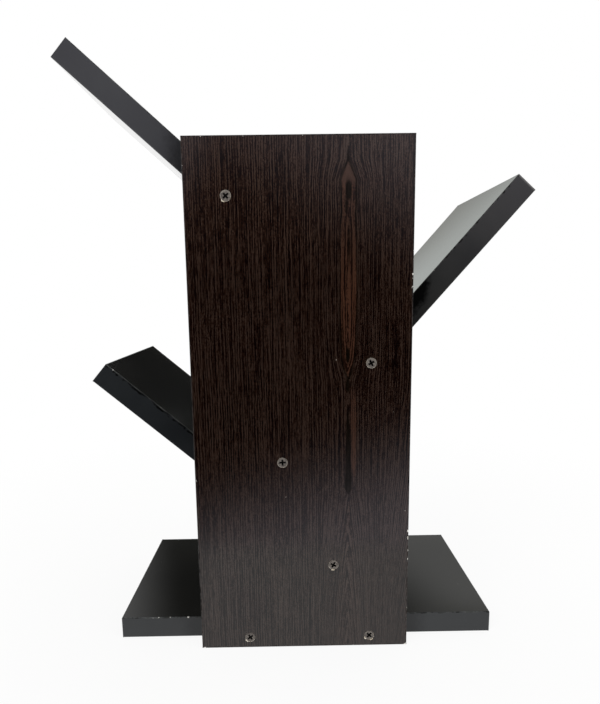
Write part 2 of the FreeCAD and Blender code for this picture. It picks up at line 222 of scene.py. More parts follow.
@dataclass(frozen=True)
class Chipboard:
    """Pressed wood chips and glue: pale, dry, matt flakes a few millimetres long, seen in a cut face."""

    flake_mm: float = 2.2
    tones: Tones = ((0.1, "#b3a791"), (0.8, "#d9d2c4"))

    def colour(self, paint: Paint) -> Socket:
        """Draws the flakes.

        Args:
            paint: the finish in hand.

        Returns:
            The flakes' colour.
        """
        flakes = paint.add("TexVoronoi", paint.sized(self.flake_mm), "Color")
        value = paint.add("SeparateColor", (flakes,))
        return paint.add("ValToRGB", (value,), stops=self.tones)


@dataclass(frozen=True)
class Dust:
    """Specks of dust: their tone, how far apart they lie, and how far one reaches."""

    tone: str
    apart_mm: float
    speck_mm: float = 0.3

    def coat(self, paint: Paint) -> tuple[Socket, str]:
        """Draws the specks, and gives how much of them shows and their tone."""
        specks = paint.add("TexVoronoi", paint.sized(self.apart_mm))
        return paint.add("Math.LESS_THAN", (specks, self.speck_mm / self.apart_mm)), self.tone


@dataclass(frozen=True)
class Drift:
    """A slow drift to either side: its length along each axis, and its full width."""

    size_mm: tuple[float, float, float]
    reach_mm: float

    def draw(self, paint: Paint, place: Socket) -> Socket:
        """Draws the drift.

        Args:
            paint: the finish in hand.
            place: the point, in millimetres.

        Returns:
            The drift, in millimetres.
        """
        scaled = paint.add("Mapping", {"Vector": place, "Scale": tuple(1 / size for size in self.size_mm)})
        noise = paint.add("TexNoise", {"Vector": scaled, "Scale": 1.0, "Detail": 2.0})
        centred = paint.add("Math.SUBTRACT", (noise, NOISE_MIDDLE))
        return paint.add("Math.MULTIPLY", (centred, self.reach_mm))


@dataclass(frozen=True)
class Grain:
    """One size of streak in a wood print: its width and length, how strongly it shows, and its detail."""

    width_mm: float
    length_mm: float
    weight: float
    detail: float


@dataclass(frozen=True)
class RingLines:
    """Even growth lines in a wood print: their spacing, their strength, and their reach from the flame."""

    spacing_mm: float
    weight: float
    reach_mm: float


@dataclass(frozen=True)
class PrintSpot:
    """A point of the wood print: its place, whether it is on the panel's inner face, and its distance to the
    right of the flame's axis and from the flame's outline, in millimetres."""

    x: Socket
    z: Socket
    inner: Socket
    off_axis: Socket
    ring: Socket


@dataclass(frozen=True)
class Blot:
    """A dark spot in a wood print, placed from the flame's axis: its half width, half height and strength."""

    off_mm: float
    z_mm: float
    half_width_mm: float
    half_height_mm: float
    strength: float
    edge: tuple[float, float] = (1.2, 0.7)

    def share(self, paint: Paint, spot: PrintSpot) -> Socket:
        """Draws the spot.

        Args:
            paint: the finish in hand.
            spot: the point of the print.

        Returns:
            How much of the spot shows.
        """
        place = paint.add("CombineXYZ", (spot.off_axis, 0.0, spot.z))
        middle = paint.add("VectorMath.SUBTRACT", (place, (self.off_mm, 0.0, self.z_mm)))
        shares = paint.add("VectorMath.DIVIDE", (middle, (self.half_width_mm, 1.0, self.half_height_mm)))
        reach = paint.add("VectorMath.LENGTH", (shares,), "Value")
        return paint.add("MapRange", (reach, *self.edge, 0.0, self.strength))


@dataclass(frozen=True)
class Tear:
    """Torn paper at a screw hole's rim: the hole's middle, and the way to the tear."""

    x_mm: float
    z_mm: float
    angle_deg: float


@dataclass(frozen=True)
class WengeLaminate:
    """Wenge-print melamine paper pressed on chipboard: close upright lines of black on brown, broken into
    short strokes away from one red-brown flame, under a satin film that hazes in pale reflections."""

    name: str = "wenge_print_melamine"
    ior: float = 1.5
    height_mm: float = 408.0
    film_mm: float = 0.25
    roughness: tuple[float, float] = (0.22, 0.15)
    gloss: tuple[float, float] = (0.46, 0.61)
    dull_heart: float = 0.5
    pore_bump: float = 0.2
    pore_mm: float = 0.05
    dust: Dust = Dust("#9c948c", 24.0)
    # the print's finest lines are half a millimetre, drawn wider so that they show
    grains: tuple[Grain, ...] = (
        Grain(0.8, 70.0, 1.15, 0.0), Grain(0.8, 9.0, 0.85, 0.0), Grain(0.7, 2.4, 0.95, 1.0),
        Grain(0.6, 1.2, 0.5, 0.0), Grain(7.0, 120.0, 0.15, 1.0))
    grain_rough: float = 0.6
    lines: tuple[RingLines, ...] = (RingLines(1.95, 0.3, 400.0), RingLines(3.8, 0.26, 26.0))
    line_least: float = 0.3
    line_drift: Drift = Drift((4.5, 1.0, 45.0), 1.6)
    line_breaks: tuple[Drift, Drift] = (Drift((2.5, 1.0, 11.0), 2.0), Drift((22.0, 1.0, 140.0), 3.0))
    line_edge: float = 0.6
    tone_span: tuple[float, float] = (1.53, 2.08)
    face_from: float = 0.7
    face_step: float = 7.3
    hand_per_mm: float = 0.5
    # where the flame stands on the outer and the inner face
    axes_mm: tuple[float, float] = (34.5, -38.0)
    sways: tuple[Drift, ...] = (Drift((55.0, 6.0, 150.0), 2.5), Drift((3.0, 6.0, 15.0), 1.0))
    heart_mm: float = 0.8
    flame_reach_mm: float = 20.0
    flame_edge_mm: tuple[float, float] = (-0.3, -1.2)
    edge_axis_mm: float = 88.0
    edge_reach_mm: float = 26.0
    edge_spread: Profile = ((0.0, 30.0), (100.0, 12.0), (150.0, 5.0), (230.0, 0.0))
    grain_tones: Tones = ((0.0, "#060000"), (0.5, "#190b05"), (1.0, "#2c201a"))
    flame_tones: Tones = ((0.05, "#160702"), (0.85, "#3b2419"))
    cap_tone: str = "#31211a"
    heart_dark: str = "#080502"
    spread: Profile = (
        (0.0, 18.0), (136.0, 0.4), (146.0, 0.0), (212.0, 0.0), (226.0, 0.6), (243.0, 5.4), (262.0, 7.0),
        (300.0, 7.6), (340.0, 6.8), (352.0, 5.8), (362.0, 6.2), (376.0, 6.4), (390.0, 0.8), (408.0, 0.0))
    redness: Profile = (
        (0.0, 0.1), (110.0, 0.15), (215.0, 0.6), (245.0, 0.9), (292.0, 1.0), (320.0, 0.55), (345.0, 0.35),
        (362.0, 0.45), (380.0, 0.9), (408.0, 0.1))
    stripe: Profile = ((0.0, 0.0), (146.0, 0.0), (156.0, 0.95), (206.0, 0.95), (222.0, 0.0))
    stripe_off_mm: float = 4.2
    stripe_mm: tuple[float, float] = (2.3, 1.5)
    stripe_cap: float = 0.5
    cap: Profile = ((0.0, 0.0), (370.0, 0.0), (376.0, 0.9), (392.0, 0.9), (398.0, 0.0))
    pencil: Profile = (
        (0.0, 0.0), (132.0, 0.0), (138.0, 3.2), (150.0, 2.7), (170.0, 2.1), (195.0, 1.3), (209.0, 0.0))
    pencil_edge_mm: float = 0.7
    pencil_strength: float = 0.9
    hearts: tuple[Blot, ...] = (
        Blot(0.2, 368.5, 2.5, 8.0, 0.95), Blot(-1.8, 357.0, 1.2, 6.0, 0.7), Blot(0.3, 330.0, 1.5, 18.0, 0.5),
        Blot(-0.2, 246.0, 1.8, 6.5, 0.95), Blot(-0.2, 222.5, 1.8, 6.0, 0.9))
    outline: Profile = (
        (0.0, 0.0), (215.0, 0.0), (226.0, 0.7), (262.0, 0.7), (300.0, 0.3), (340.0, 0.3), (354.0, 0.7),
        (390.0, 0.85), (402.0, 0.0))
    outline_mm: float = 0.9
    # painted light: the print is scaled by height, brightest at the top and a little darker near 300 mm
    painted_light_by_height: Profile = ((0.0, 1.0), (300.0, 0.95), (408.0, 1.3))
    tears: tuple[Tear, ...] = (
        Tear(-56.5, 365.6, 240.0), Tear(22.5, 72.7, 265.0), Tear(-47.5, 9.0, 225.0), Tear(52.5, 9.0, 300.0),
        Tear(52.5, 9.0, 215.0))
    hole_mm: float = 4.0
    rim_mm: float = 3.75
    tear_mm: float = 1.35
    tear_deep_mm: float = 1.8
    ragged_per_mm: float = 1.1

    def material(self, slab: Slab) -> bpy.types.Material:
        """Makes the laminate for the trunk.

        Args:
            slab: the trunk panel's frame.

        Returns:
            The finished material.
        """
        paint = Paint.named(self.name)
        spot = self.spot(paint, slab)
        tone = self.streaks(paint, spot)
        dark = self.dark_share(paint, spot)
        darkened = paint.coated(self.print_colour(paint, spot, tone), (dark, self.heart_dark))
        # painted light: the print brightens towards the top of the trunk
        painted_light = self.profile(paint, spot.z, self.painted_light_by_height)
        printed = paint.add("VectorMath.SCALE", {0: darkened, "Scale": painted_light})
        bare = paint.add("Math.MAXIMUM", (slab.cut(paint, self.film_mm), self.torn(paint, spot)))
        colour = paint.coated(printed, self.dust.coat(paint), (bare, Chipboard().colour(paint)))
        roughness = paint.add("MapRange", (tone, 0.0, 1.0, *self.roughness))
        pores = paint.add("MapRange", (tone, 0.0, 1.0, *self.gloss))
        dulled = paint.add("MapRange", (dark, 0.0, 1.0, 1.0, self.dull_heart))
        gloss = paint.add("Math.MULTIPLY", (pores, dulled))
        bump = paint.add("Bump", {"Strength": self.pore_bump, "Distance": self.pore_mm * MM, "Height": tone})
        return paint.done({"Base Color": colour, "Roughness": roughness, "IOR": self.ior,
                           "Specular IOR Level": gloss, "Normal": bump})

    def profile(self, paint: Paint, z: Socket, points: Profile) -> Socket:
        """Draws a value that changes with height.

        Args:
            paint: the finish in hand.
            z: the height, in millimetres.
            points: heights and values.

        Returns:
            The value at that height.
        """
        top = max(1.0, *(value for _, value in points))
        share = paint.add("Math.DIVIDE", (z, self.height_mm))
        stops = tuple((height / self.height_mm, value / top) for height, value in points)
        ramp = paint.add("ValToRGB", (share,), stops=stops)
        return paint.add("Math.MULTIPLY", (ramp, top))

    def spot(self, paint: Paint, slab: Slab) -> PrintSpot:
        """Finds a point's place among the print's flame and growth rings.

        Args:
            paint: the finish in hand.
            slab: the trunk panel's frame.

        Returns:
            The point of the print.
        """
        x, y, z = paint.add("SeparateXYZ", (paint.place,)).node.outputs
        inner = paint.add("Math.GREATER_THAN", (y, slab.middle))
        axis = paint.add("MapRange", (inner, 0.0, 1.0, *self.axes_mm))
        off_axis = paint.add("Math.SUBTRACT", (x, axis))
        for sway in self.sways:
            off_axis = paint.add("Math.ADD", (off_axis, sway.draw(paint, paint.place)))
        spread = self.profile(paint, z, self.spread)
        opened = paint.add("Math.MULTIPLY", (spread, paint.bell(off_axis, self.flame_reach_mm)))
        square = paint.add("Math.MULTIPLY_ADD", (off_axis, off_axis, self.heart_mm ** 2))
        distance = paint.add("Math.SQRT", (square,))
        flame_ring = paint.add("Math.SUBTRACT", (distance, opened))
        near_edge = paint.bell(paint.add("Math.SUBTRACT", (x, self.edge_axis_mm)), self.edge_reach_mm)
        lean = self.profile(paint, z, self.edge_spread)
        ring = paint.add("Math.MULTIPLY_ADD", (lean, near_edge, flame_ring))
        return PrintSpot(x, z, inner, off_axis, ring)

    def streaks(self, paint: Paint, spot: PrintSpot) -> Socket:
        """Draws all sizes of streak along the growth rings, and the rings' own lines.

        Args:
            paint: the finish in hand.
            spot: the point of the print.

        Returns:
            The tone, from zero at the darkest to one at the palest.
        """
        hand = paint.add("Math.TANH", (paint.add("Math.MULTIPLY", (spot.off_axis, self.hand_per_mm)),))
        face = paint.add("Math.ADD", (spot.inner, self.face_from))
        side = paint.add("Math.MULTIPLY_ADD", (face, self.face_step, hand))
        total = 0.0
        for grain in self.grains:
            across = paint.add("Math.DIVIDE", (spot.ring, grain.width_mm))
            along = paint.add("Math.DIVIDE", (spot.z, grain.length_mm))
            place = paint.add("CombineXYZ", (across, side, along))
            noise = paint.add("TexNoise", {"Vector": place, "Scale": 1.0, "Detail": grain.detail,
                                           "Roughness": self.grain_rough})
            total = paint.add("Math.MULTIPLY_ADD", (noise, grain.weight, total))
        place = paint.add("CombineXYZ", (spot.ring, side, spot.z))
        late = self.line_drift.draw(paint, place)
        broken = paint.add("Math.ADD", tuple(drift.draw(paint, place) for drift in self.line_breaks))
        shown = paint.add("MapRange", (broken, -self.line_edge, self.line_edge, self.line_least))
        for line in self.lines:
            count = paint.add("Math.DIVIDE", (spot.ring, line.spacing_mm))
            phase = paint.add("Math.ADD", (count, late))
            wave = paint.add("Math.SINE", (paint.add("Math.MULTIPLY", (phase, math.tau)),))
            near = paint.add("Math.MULTIPLY", (paint.bell(spot.off_axis, line.reach_mm), line.weight))
            weight = paint.add("Math.MULTIPLY", (near, shown))
            total = paint.add("Math.MULTIPLY_ADD", (wave, weight, total))
        return paint.add("MapRange", (total, *self.tone_span))

    def torn(self, paint: Paint, spot: PrintSpot) -> Socket:
        """Finds where the paper is torn at a screw hole's rim, on the face that the heads are in.

        Args:
            paint: the finish in hand.
            spot: the point of the print.

        Returns:
            One where the chipboard shows.
        """
        place = paint.add("CombineXYZ", (spot.x, spot.inner, spot.z))
        ragged = paint.add("TexNoise", {"Vector": place, "Scale": self.ragged_per_mm, "Detail": 2.0})
        width = paint.add("Math.MULTIPLY_ADD", (ragged, self.tear_deep_mm, self.rim_mm))
        torn = 0.0
        for tear in self.tears:
            turn = math.radians(tear.angle_deg)
            hole = Vector((tear.x_mm, 0.0, tear.z_mm))
            rim = hole + self.hole_mm * Vector((math.cos(turn), 0.0, math.sin(turn)))
            to_hole = paint.add("VectorMath.DISTANCE", (place, tuple(hole)), "Value")
            to_rim = paint.add("VectorMath.DISTANCE", (place, tuple(rim)), "Value")
            beside = paint.add("Math.LESS_THAN", (to_hole, width))
            near = paint.add("Math.LESS_THAN", (to_rim, self.tear_mm))
            torn = paint.add("Math.MULTIPLY_ADD", (beside, near, torn))
        return paint.add("Math.MINIMUM", (torn, 1.0))

    def print_colour(self, paint: Paint, spot: PrintSpot, tone: Socket) -> Socket:
        """Colours the streaks, reddens the flame and fills its cap.

        Args:
            paint: the finish in hand.
            spot: the point of the print.
            tone: the streaks' tone.

        Returns:
            The print's colour.
        """
        grain = paint.add("ValToRGB", (tone,), stops=self.grain_tones)
        flame = paint.add("ValToRGB", (tone,), stops=self.flame_tones)
        inside = paint.add("MapRange", (spot.ring, *self.flame_edge_mm))
        flamed = paint.add("Math.MULTIPLY", (inside, self.profile(paint, spot.z, self.redness)))
        to_stripe = paint.add("Math.SUBTRACT", (spot.off_axis, self.stripe_off_mm))
        beside = paint.add("MapRange", (paint.add("Math.ABSOLUTE", (to_stripe,)), *self.stripe_mm))
        stripe = paint.add("Math.MULTIPLY", (beside, self.profile(paint, spot.z, self.stripe)))
        reddened = paint.add("Math.MAXIMUM", (flamed, stripe))
        full_cap = paint.add("Math.MULTIPLY", (inside, self.profile(paint, spot.z, self.cap)))
        capped = paint.add("Math.MULTIPLY_ADD", (stripe, self.stripe_cap, full_cap))
        return paint.coated(grain, (reddened, flame), (capped, self.cap_tone))

    def dark_share(self, paint: Paint, spot: PrintSpot) -> Socket:
        """Draws the flame's dark outline, its hearts and the dark point under it.

        Args:
            paint: the finish in hand.
            spot: the point of the print.

        Returns:
            How much of the dark shows.
        """
        outlined = self.profile(paint, spot.z, self.outline)
        dark = paint.add("Math.MULTIPLY", (paint.bell(spot.ring, self.outline_mm), outlined))
        width = self.profile(paint, spot.z, self.pencil)
        within = paint.add("Math.SUBTRACT", (width, paint.add("Math.ABSOLUTE", (spot.off_axis,))))
        pencil = paint.add("MapRange", (within, 0.0, self.pencil_edge_mm, 0.0, self.pencil_strength))
        for share in (pencil, *(heart.share(paint, spot) for heart in self.hearts)):
            dark = paint.add("Math.MAXIMUM", (dark, share))
        return dark


@dataclass(frozen=True)
class BlackLaminate:
    """Black melamine paper pressed on chipboard with a fine pearl plate: deep black face on, grey at a low
    angle where the satin film mirrors the room, scuffed on top, smoother underneath, a little dusty."""

    name: str = "black_pearl_melamine"
    ior: float = 1.5
    tones: Tones = ((0.35, "#1b1b19"), (0.75, "#20201e"))
    dust: Dust = Dust("#a9aaa4", 22.0)
    cloud_mm: float = 70.0
    cloud_span: tuple[float, float] = (0.3, 0.7)
    roughness: tuple[float, float] = (0.11, 0.14)
    smoother_below: float = 0.08
    # the plate's dimples are half a millimetre, drawn wider so that they show
    pearl_mm: float = 0.9
    pearl_bump: float = 0.06
    pearl_deep_mm: float = 0.04
    film_mm: float = 0.25

    def material(self, slab: Slab) -> bpy.types.Material:
        """Makes the laminate for one board.

        Args:
            slab: the board's frame.

        Returns:
            The finished material.
        """
        paint = Paint.named(f"{self.name}.{slab.node}")
        cloud = paint.add("TexNoise", paint.sized(self.cloud_mm, detail=2.0))
        face = paint.add("ValToRGB", (cloud,), stops=self.tones)
        core = (slab.cut(paint, self.film_mm), Chipboard().colour(paint))
        colour = paint.coated(face, self.dust.coat(paint), core)
        patchy = paint.add("MapRange", (cloud, *self.cloud_span, *self.roughness))
        below = paint.add("Math.LESS_THAN", (slab.height(paint), 0.0))
        roughness = paint.add("Math.MULTIPLY_ADD", (below, -self.smoother_below, patchy))
        pressed = paint.add("Math.MULTIPLY_ADD", (below, -self.pearl_bump, self.pearl_bump))
        pearl = paint.add("TexNoise", paint.sized(self.pearl_mm, detail=1.0))
        bump = paint.add("Bump", {"Strength": pressed, "Distance": self.pearl_deep_mm * MM, "Height": pearl})
        return paint.done({"Base Color": colour, "Roughness": roughness, "IOR": self.ior, "Normal": bump})


class BandTone(Enum):
    """The plastics that the edges are banded in: name, dark and light tone, and tone of the painted highlight
    on the arrises.
    """

    WENGE = ("wenge_plastic_band", "#170e0b", "#221814", "#2b2320")
    BLACK = ("black_plastic_band", "#14171a", "#1d2022", "#3d3f3e")
    CHARCOAL = ("charcoal_plastic_band", "#181919", "#222221", "#31312f")


@dataclass(frozen=True)
class Knock:
    """A place where an edge has been knocked, how far round it the chips reach, and how hard it was."""

    x_mm: float
    z_mm: float
    reach_mm: float
    force: float = 0.11


@dataclass(frozen=True)
class EdgeBand:
    """Glued plastic edge band, planed flush: smooth and plain along its length, with a painted highlight as a
    thin grey line on its arrises, nicked black below it, chipped down to the pale chipboard, and with painted
    shade beside the trunk."""

    tone: BandTone
    knocks: tuple[Knock, ...] = ()
    ior: float = 1.54
    core: Chipboard = Chipboard(tones=((0.1, "#bdb9b0"), (0.8, "#dedcd6")))
    cloud_mm: float = 40.0
    cloud_span: tuple[float, float] = (0.3, 0.7)
    roughness: tuple[float, float] = (0.26, 0.36)
    gloss: tuple[float, float] = (0.5, 0.12)
    chip_mm: float = 2.2
    chip_share: float = 0.74
    arris_mm: float = 0.7
    ragged_mm: float = 3.0
    # one dark tone for the painted shade beside the trunk and for the real black nicks
    shade_and_wear: str = "#040404"
    nick_mm: float = 0.9
    nick_least_mm: float = -0.2
    nick_from: float = 0.42
    nick_span: float = 0.2
    nick_edge_mm: float = 0.4
    nick_under: bool = False
    trunk_middle_mm: float = -2.0
    trunk_half_mm: float = 86.0
    # painted shade beside the trunk: its strength, its reach from the trunk's side, its starting height, its
    # wander and its soft edge
    trunk_shade: float = 0.25
    trunk_shade_mm: float = 10.0
    trunk_shade_from_mm: float = -20.0
    trunk_shade_wander_mm: float = 10.0
    trunk_shade_soft_mm: float = 12.0
    # painted highlight along the arrises: its width, how far in from the face it sits, its patch size and how
    # often it shows
    highlight_mm: float = 0.45
    highlight_in_mm: float = 0.2
    highlight_patch_mm: float = 12.0
    highlight_span: tuple[float, float] = (0.35, 0.6)
    end_tone: str | None = None
    end_mm: float = 0.9
    end_soft_mm: float = 0.2

    def material(self, slab: Slab, name: str) -> bpy.types.Material:
        """Makes the band round one board.

        Args:
            slab: the board's frame.
            name: the board's name.

        Returns:
            The finished material.
        """
        label, dark, light, highlight_tone = self.tone.value
        paint = Paint.named(f"{label}.{name}")
        cloud = paint.add("TexNoise", paint.sized(self.cloud_mm, detail=3.0))
        few, many = self.cloud_span
        plain = paint.add("ValToRGB", (cloud,), stops=((few, dark), (many, light)))
        ragged = paint.add("TexNoise", paint.sized(self.ragged_mm, detail=3.0))
        # painted shade beside the trunk, joined with the real black nicks; both also weaken the reflection
        shade_and_wear_mask = paint.add("Math.MAXIMUM", (self.trunk_shade_share(paint, slab, ragged),
                                           self.nick_share(paint, slab, ragged)))
        # the painted highlight is a thin pale line along the arrises
        coats = [(shade_and_wear_mask, self.shade_and_wear), (self.arris_highlight_share(paint, slab), highlight_tone)]
        if self.end_tone:
            coats.append((self.end_share(paint, f"{name}_band_outer"), self.end_tone))
        coats.append((self.chip(paint, slab), self.core.colour(paint)))
        roughness = paint.add("MapRange", (cloud, 0.0, 1.0, *self.roughness))
        gloss = paint.add("MapRange", (shade_and_wear_mask, 0.0, 1.0, *self.gloss))
        return paint.done({"Base Color": paint.coated(plain, *coats), "Roughness": roughness,
                           "IOR": self.ior, "Specular IOR Level": gloss})

    def chip(self, paint: Paint, slab: Slab) -> Socket:
        """Finds where an arris is chipped down to the core.

        Args:
            paint: the finish in hand.
            slab: the board's frame.

        Returns:
            One where the core shows.
        """
        raised = paint.add("TexNoise", paint.sized(self.chip_mm, detail=2.0))
        flat = paint.add("VectorMath.MULTIPLY", (paint.place, (1.0, 0.0, 1.0)))
        for knock in self.knocks:
            away = paint.add("VectorMath.DISTANCE", (flat, (knock.x_mm, 0.0, knock.z_mm)), "Value")
            raised = paint.add("Math.MULTIPLY_ADD", (paint.bell(away, knock.reach_mm), knock.force, raised))
        chipped = paint.add("Math.GREATER_THAN", (raised, self.chip_share))
        arris = paint.add("Math.GREATER_THAN", (slab.depth(paint), slab.half - self.arris_mm))
        return paint.add("Math.MULTIPLY", (arris, chipped))

    def nick_share(self, paint: Paint, slab: Slab, ragged: Socket) -> Socket:
        """Draws the ragged black nicks that run down from an arris.

        Args:
            paint: the finish in hand.
            slab: the board's frame.
            ragged: the noise that breaks the nicks' edge.

        Returns:
            How much of a nick shows.
        """
        full = self.nick_from + self.nick_span
        deep = paint.add("MapRange", (ragged, self.nick_from, full, self.nick_least_mm, self.nick_mm))
        rise = slab.depth(paint) if self.nick_under else slab.height(paint)
        level = paint.add("Math.ADD", (rise, deep))
        return paint.add("MapRange", (level, slab.half, slab.half + self.nick_edge_mm))

    def trunk_shade_share(self, paint: Paint, slab: Slab, ragged: Socket) -> Socket:
        """Draws the painted shade on the band beside the trunk, where the band meets it.

        Args:
            paint: the finish in hand.
            slab: the board's frame.
            ragged: the noise that breaks the grime's edge.

        Returns:
            How much of the painted shade shows.
        """
        x = paint.add("SeparateXYZ", (paint.place,))
        from_middle = paint.add("Math.SUBTRACT", (x, self.trunk_middle_mm))
        to_side = paint.add("Math.ABSOLUTE", (from_middle,))
        to_trunk = paint.add("Math.SUBTRACT", (to_side, self.trunk_half_mm))
        stray = paint.add("Math.SUBTRACT", (ragged, NOISE_MIDDLE))
        reach = paint.add("Math.MULTIPLY_ADD", (stray, self.trunk_shade_wander_mm, to_trunk))
        start = self.trunk_shade_mm + self.trunk_shade_soft_mm
        close = paint.add("MapRange", (reach, start, self.trunk_shade_mm, 0.0, self.trunk_shade))
        level = paint.add("Math.MULTIPLY_ADD", (stray, self.trunk_shade_wander_mm, slab.height(paint)))
        start = self.trunk_shade_from_mm - self.trunk_shade_soft_mm
        above = paint.add("MapRange", (level, start, self.trunk_shade_from_mm))
        return paint.add("Math.MULTIPLY", (close, above))

    def end_share(self, paint: Paint, node: str) -> Socket:
        """Finds the cut edge of the band on a board's outer end, where it laps over the long band.

        Args:
            paint: the finish in hand.
            node: name of the end band's node.

        Returns:
            How much of the cut edge shows.
        """
        start, full = self.end_mm + self.end_soft_mm, self.end_mm - self.end_soft_mm
        inside = paint.add("MapRange", (Slab.of(node).depth(paint), start, full))
        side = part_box(node)[1][1] * PER_METRE - self.end_mm
        y = paint.add("SeparateXYZ", (paint.place,), "Y")
        at_side = paint.add("Math.GREATER_THAN", (paint.add("Math.ABSOLUTE", (y,)), side))
        return paint.add("Math.MULTIPLY", (inside, at_side))

    def arris_highlight_share(self, paint: Paint, slab: Slab) -> Socket:
        """Paints a highlight along the long arrises, broken in patches.

        Args:
            paint: the finish in hand.
            slab: the board's frame.

        Returns:
            How much of the painted highlight shows.
        """
        patchy = paint.add("TexNoise", paint.sized(self.highlight_patch_mm, detail=3.0))
        often = paint.add("MapRange", (patchy, *self.highlight_span))
        above = paint.add("Math.SUBTRACT", (slab.depth(paint), slab.half - self.highlight_in_mm))
        return paint.add("Math.MULTIPLY", (paint.bell(above, self.highlight_mm), often))


@dataclass(frozen=True)
class ZincScrew:
    """Zinc-plated steel gone dull: a warm grey with soft mottling that has lost most of its shine to a chalky
    film, with painted shade in its driver recess, dark and without shine."""

    name: str = "zinc_plated_steel"
    tones: Tones = ((0.35, "#544e4b"), (0.65, "#767069"))
    shine: float = 0.3
    # tone of the painted shade in the driver recess, and the depth at which it reaches full strength
    shade_and_wear: str = "#060505"
    recess_shade_mm: float = 0.12
    mottle_mm: float = 1.6
    mottle_span: tuple[float, float] = (0.3, 0.7)
    roughness: tuple[float, float] = (0.7, 0.56)

    def material(self) -> bpy.types.Material:
        """Makes the plated steel.

        Returns:
            The finished material.
        """
        paint = Paint.named(self.name)
        mottle = paint.add("TexNoise", paint.sized(self.mottle_mm, detail=4.0))
        plate = paint.add("ValToRGB", (mottle,), stops=self.tones)
        # painted shade: the deeper a point lies in the recess, the darker it is coloured and the less metal
        # it shows
        sunk = paint.add("Attribute", out="Fac", attribute_name=SINK)
        shade_and_wear_mask = paint.add("MapRange", (sunk, 0.0, self.recess_shade_mm))
        bare = paint.add("Math.MULTIPLY_ADD", (shade_and_wear_mask, -self.shine, self.shine))
        roughness = paint.add("MapRange", (mottle, *self.mottle_span, *self.roughness))
        return paint.done({"Base Color": paint.coated(plate, (shade_and_wear_mask, self.shade_and_wear)), "Metallic": bare,
                           "Roughness": roughness})


def dress(node: str, material: bpy.types.Material) -> None:
    """Gives a solid its finish.

    Args:
        node: name of the solid's node.
        material: the finish.
    """
    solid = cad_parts[node]
    if not solid.material_slots:
        solid.data.materials.append(material)
    for place in solid.material_slots:
        place.material = material
    LOG.info("dressed %s in %s", node, material.name)


@dataclass
class Board:
    """One black board with a band on each edge that is open to view."""

    name: str
    core: str
    sides: tuple[str, ...]
    band: EdgeBand
    laminate: BlackLaminate | WengeLaminate = BlackLaminate()
    slots: tuple[str, str] = ("black_laminate", "black_edge_band")

    def build(self) -> None:
        """Dresses the board and its bands."""
        slab = Slab.of(self.core)
        dress(self.core, self.laminate.material(slab))
        material = self.band.material(slab, self.name)
        for side in self.sides:
            dress(f"{self.name}_band_{side}", material)


@dataclass
class Trunk(Board):
    """The upright: a wenge-look panel with a band on each of its four edges."""

    name: str = "trunk"
    core: str = "trunk_panel"
    sides: tuple[str, ...] = ("top", "bottom", "left", "right")
    band: EdgeBand = EdgeBand(BandTone.WENGE, (
        Knock(83.6, 101.3, 1.3, 0.5), Knock(83.6, 95.2, 1.3, 0.5), Knock(84.0, 84.7, 0.7, 0.4),
        Knock(84.0, 77.0, 0.7, 0.4), Knock(84.0, 56.6, 0.6, 0.4), Knock(84.0, 308.0, 30.0, 0.06),
        Knock(84.0, 38.0, 18.0, 0.04), Knock(82.6, 0.4, 1.4, 0.5), Knock(-85.6, 0.4, 1.4, 0.5),
        Knock(-76.0, 408.0, 4.0), Knock(-43.0, 408.0, 4.0), Knock(84.0, 406.0, 5.0)), nick_under=True)
    laminate: WengeLaminate = WengeLaminate()
    slots: tuple[str, str] = ("wenge_laminate", "wenge_edge_band")


def start_alone() -> None:
    """Leaves everything unselected, so that the next operator acts on its own piece only."""
    bpy.ops.object.select_all(action="DESELECT")


def select_vertices(test: Callable[[Vector], bool]) -> None:
    """Selects the vertices, and the edges and faces between them, that pass a test, in edit mode.

    Args:
        test: function of a vertex's place that says whether it is wanted.
    """
    bpy.ops.mesh.select_all(action="DESELECT")
    bpy.ops.object.mode_set(mode="OBJECT")
    mesh = bpy.context.object.data
    wanted = [bool(test(v.co)) for v in mesh.vertices]
    mesh.vertices.foreach_set("select", wanted)
    for part in (*mesh.edges, *mesh.polygons):
        part.select = all(wanted[i] for i in part.vertices)
    bpy.ops.object.mode_set(mode="EDIT")


def narrow(scale: float) -> None:
    """Narrows the selected faces towards the axis."""
    bpy.ops.transform.resize(value=(scale, scale, 1), center_override=(0, 0, 0))


def extrude_down(length: float, scale: float = 1.0) -> None:
    """Draws the selected face down the axis and narrows it."""
    bpy.ops.mesh.extrude_region_move(TRANSFORM_OT_translate={"value": (0, 0, -length)})
    narrow(scale)


def face_outwards() -> None:
    """Turns every face of the piece in edit mode outwards."""
    bpy.ops.mesh.select_all(action="SELECT")
    bpy.ops.mesh.normals_make_consistent(inside=False)


def apply_modifier(piece: bpy.types.Object, kind: str, **settings: object) -> None:
    """Adds a modifier and applies it.

    Args:
        piece: object that gets it.
        kind: type of modifier.
        settings: the modifier's properties.
    """
    bpy.context.view_layer.objects.active = piece
    modifier = piece.modifiers.new(kind.lower(), kind)
    for name, value in settings.items():
        setattr(modifier, name, value)
    bpy.ops.object.modifier_apply(modifier=modifier.name)


